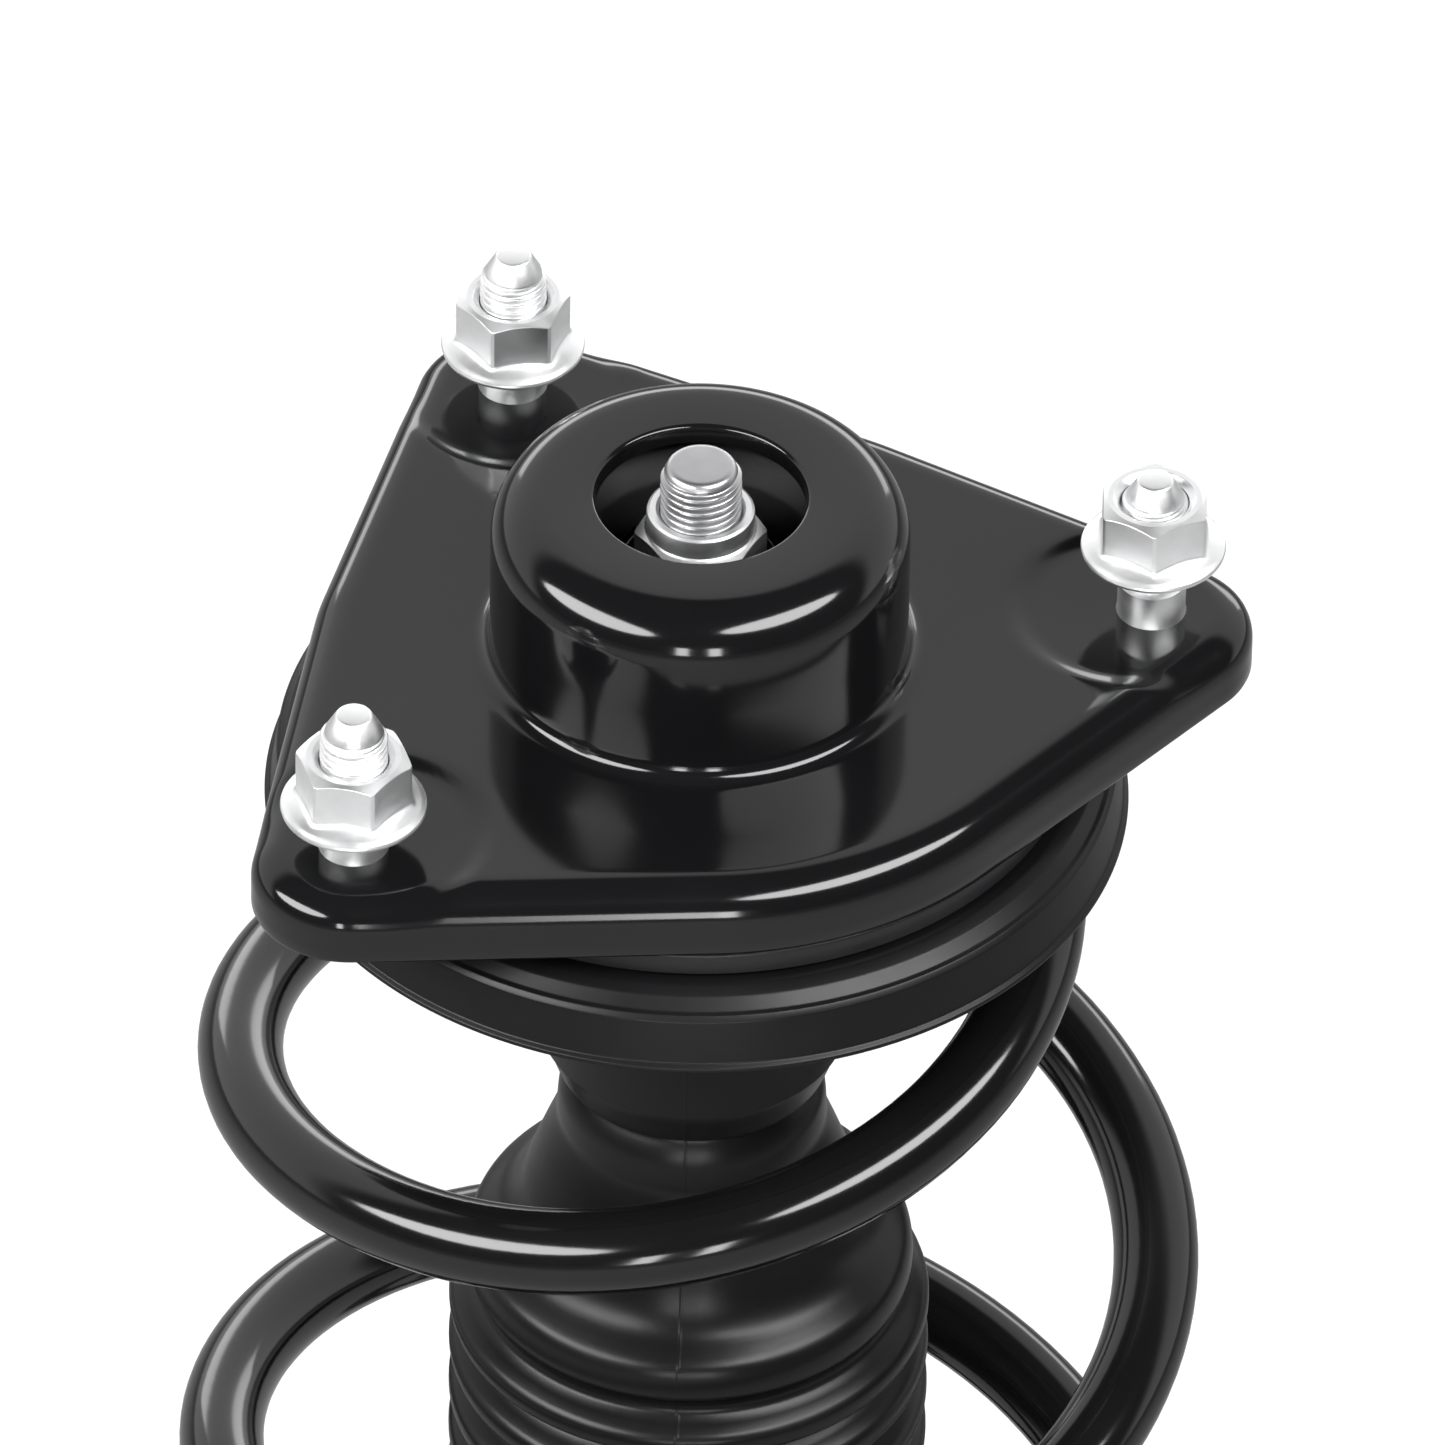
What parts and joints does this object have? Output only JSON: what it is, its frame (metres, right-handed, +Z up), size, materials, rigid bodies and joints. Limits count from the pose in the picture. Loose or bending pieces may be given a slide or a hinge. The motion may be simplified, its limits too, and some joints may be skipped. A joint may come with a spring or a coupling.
{
  "type": "suspension strut assembly",
  "caption": "Loaded suspension strut: studded top mount with rubber bush and bearing, coil spring, ribbed dust boot and twin-tube damper with a clamp bracket.",
  "frame": {"origin": "on the strut axis, in the plane of the mounting plate's round field, where the mount meets the car's strut tower", "axes": "+Z up along the strut axis towards the hub and rod tip; +Y from the axis towards the single stud; +X across the pair of studs, with the knuckle cheeks opening towards -Y"},
  "size_m": [0.161, 0.1627, 0.6098],
  "materials": {
    "black_paint": "gloss black electro-coat",
    "spring_paint": "gloss black powder coat",
    "zinc": "bright zinc plating",
    "steel": "plain steel",
    "chrome_rod": "hard chrome, ground",
    "black_rubber": "moulded",
    "boot_plastic": "satin moulded thermoplastic rubber",
    "black_nylon": "moulded nylon",
    "foam": "microcellular polyurethane",
    "bronze": "bronze-faced bearing material",
    "sintered": "sintered iron",
    "guide_alloy": "die-cast"
  },
  "bodies": {
    "mount": {"mount_plate": "black_paint", "mount_studs": "zinc", "flange_nuts": "zinc", "closing_plate": "black_paint", "rubber_bush": "black_rubber", "core_sleeve": "steel", "top_washer": "steel", "rod_nut": "zinc", "piston_rod": "chrome_rod", "rebound_washer": "steel", "bump_stop_cup": "black_paint", "bump_stop": "foam", "bearing_upper_race": "black_nylon", "bearing_balls": "steel", "ball_cage": "black_nylon", "rebound_stop": "black_rubber", "piston": "sintered", "piston_band": "bronze", "valve_discs": "steel", "piston_nut": "zinc"},
    "spring_seat": {"bearing_lower_race": "black_nylon", "upper_spring_seat": "black_paint", "upper_insulator": "black_rubber", "dust_boot": "boot_plastic", "coil_spring": "spring_paint"},
    "strut": {"strut_tube": "black_paint", "tube_base": "black_paint", "pressure_tube": "steel", "base_valve": "sintered", "rod_guide": "guide_alloy", "guide_bush": "bronze", "rod_seal": "black_rubber", "top_cap": "black_paint", "lower_spring_seat": "black_paint", "lower_pad": "black_rubber", "knuckle_bracket": "black_paint", "bracket_bridge": "black_paint", "link_bracket": "black_paint", "hose_bracket": "black_paint"}
  },
  "joints": [
    {"name": "steer_swivel", "type": "hinge", "parent": "mount", "child": "spring_seat", "pos_m": [0, 0, -0.0143], "axis": [0, 0, 1], "continuous": true},
    {"name": "stroke", "type": "slide", "parent": "spring_seat", "child": "strut", "axis": [0, 0, 1], "range_m": [0, 0.126], "stiffness_N_per_m": 24000, "springref_m": -0.08, "deforming": ["coil_spring", "dust_boot"]}
  ]
}
